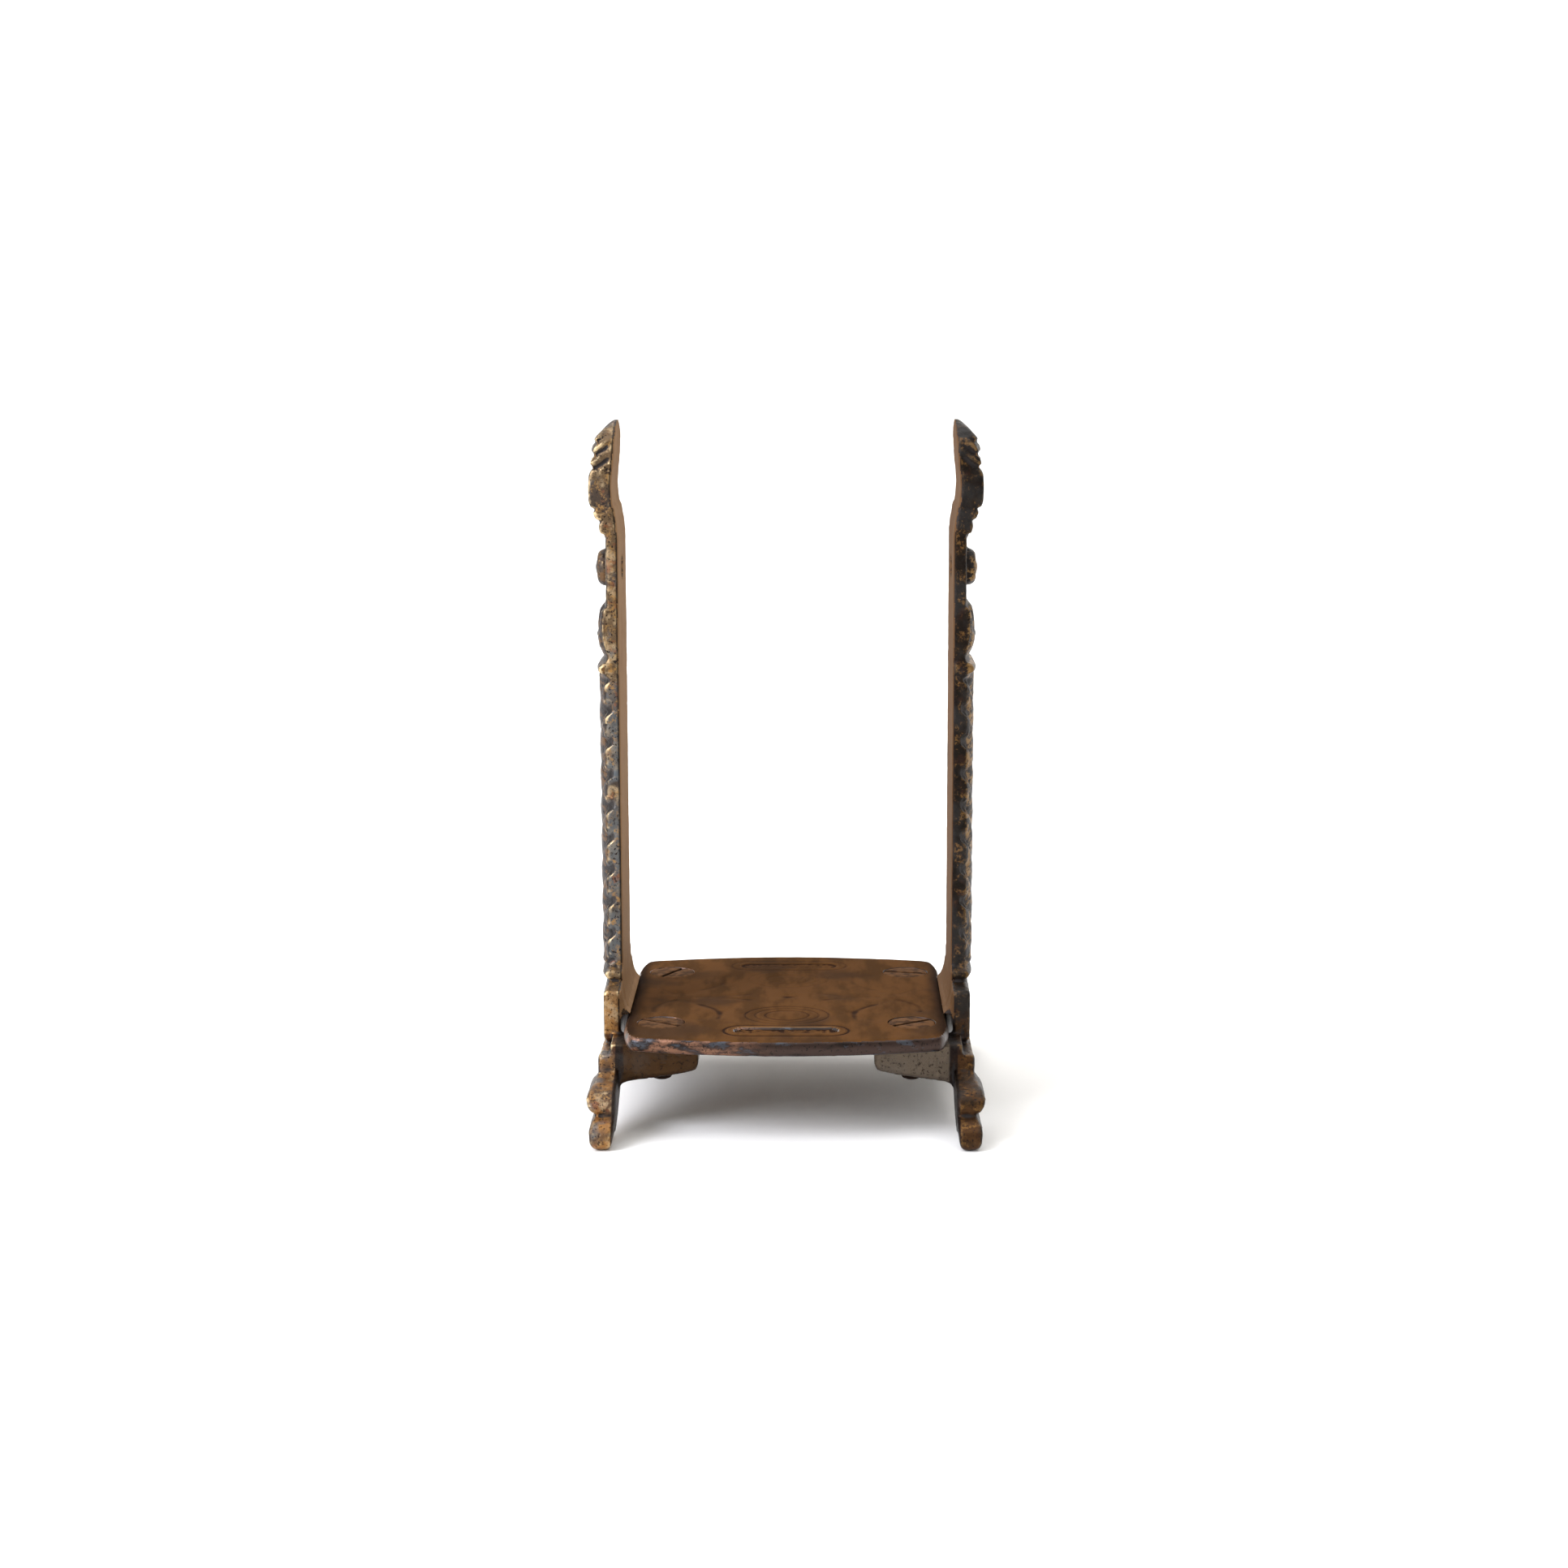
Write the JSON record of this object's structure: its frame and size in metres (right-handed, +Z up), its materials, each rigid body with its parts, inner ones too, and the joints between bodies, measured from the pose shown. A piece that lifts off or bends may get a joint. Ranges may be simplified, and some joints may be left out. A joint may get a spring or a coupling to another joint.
{
  "type": "photo album stand",
  "caption": "Cast stand with a twisted-column upright at each side of a low shelf, holding a photograph album upright.",
  "frame": {"origin": "on the surface it stands on, under the middle of the shelf", "axes": "+Z up, X across the album bay from the left upright to the right one, Y from front to back with the front at -Y"},
  "size_m": [0.0932, 0.1, 0.165],
  "materials": {
    "upright_brass": "sand-cast brass, dark brown patina in the hollows and rubbed gold on the high spots",
    "shelf_brass": "sand-cast brass, worn warm brown satin with dark patina in the relief",
    "screw_steel": "dark aged steel"
  },
  "bodies": {
    "root": {"side_casting_left": "upright_brass", "side_casting_right": "upright_brass", "shelf_plate": "shelf_brass", "screw_front_left": "screw_steel", "screw_front_right": "screw_steel", "screw_back_left": "screw_steel", "screw_back_right": "screw_steel"}
  },
  "joints": []
}
